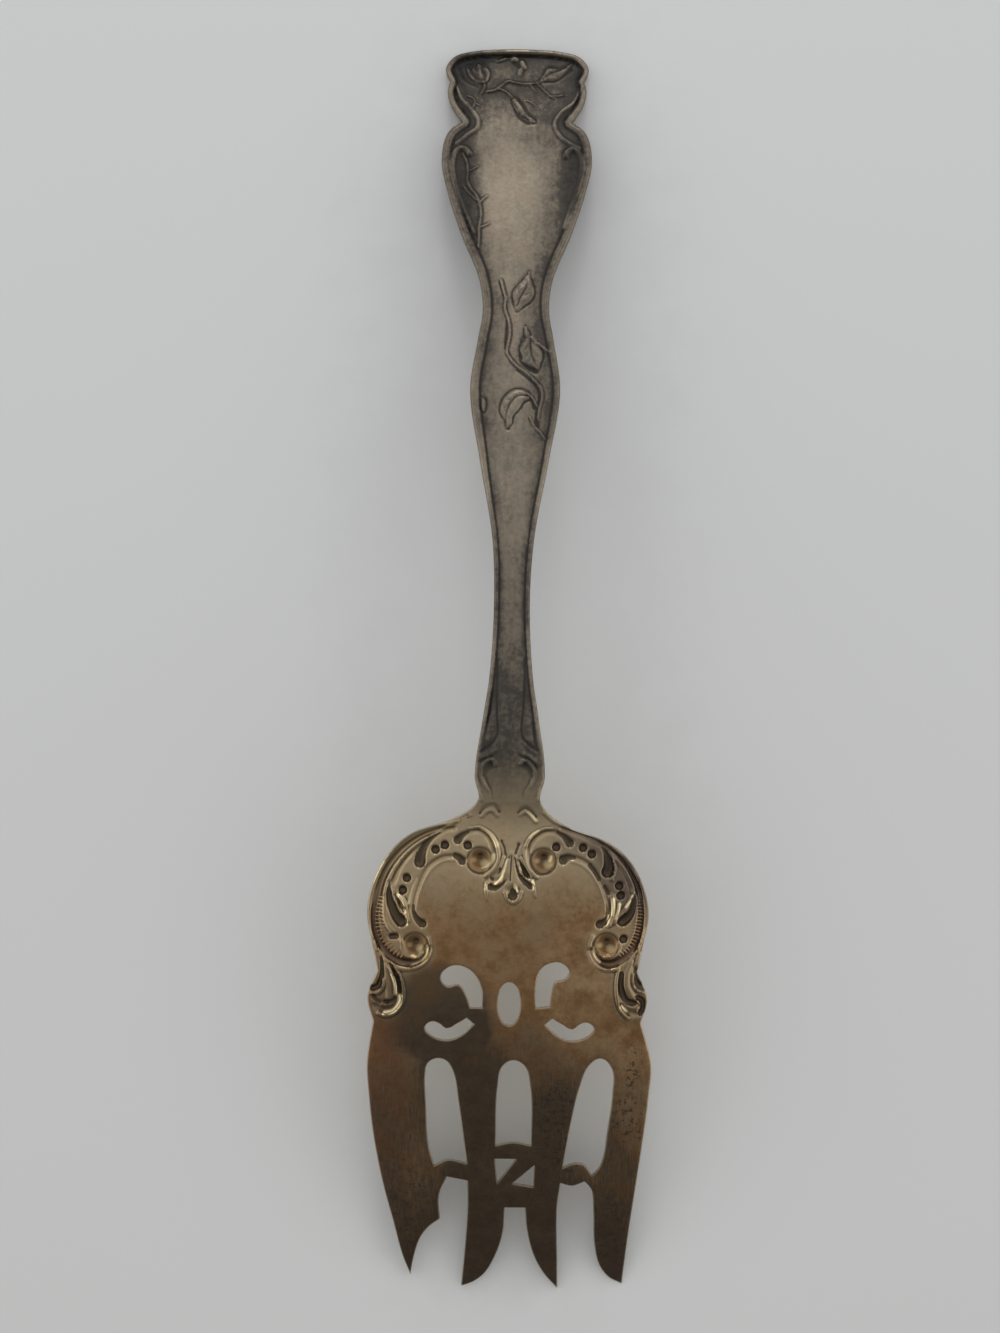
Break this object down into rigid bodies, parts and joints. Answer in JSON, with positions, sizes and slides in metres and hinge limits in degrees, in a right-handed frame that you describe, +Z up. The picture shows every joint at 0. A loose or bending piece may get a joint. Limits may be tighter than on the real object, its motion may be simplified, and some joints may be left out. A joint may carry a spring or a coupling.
{
  "type": "serving fork",
  "caption": "Ornate metal serving fork with a broad pierced head, shaped tines tied by cross bars, struck scrollwork and a waisted, bordered handle.",
  "frame": {"origin": "centre of the bounding box at the surface that the fork lies on", "axes": "+Y from the tines to the handle end, +X across, +Z up; the fork lies back upward"},
  "size_m": [0.0498, 0.2251, 0.0238],
  "materials": {
    "tarnished_silver": "sterling silver, tarnished brown-grey in the hollows and rubbed bright on the high places",
    "worn_gold_wash": "sterling silver with a worn gold wash, dark brown tarnish towards the tines",
    "silver_solder": "hard silver solder, dressed flush"
  },
  "bodies": {
    "root": {"handle": "tarnished_silver", "fork_head": "worn_gold_wash", "solder_film": "silver_solder"}
  },
  "joints": []
}
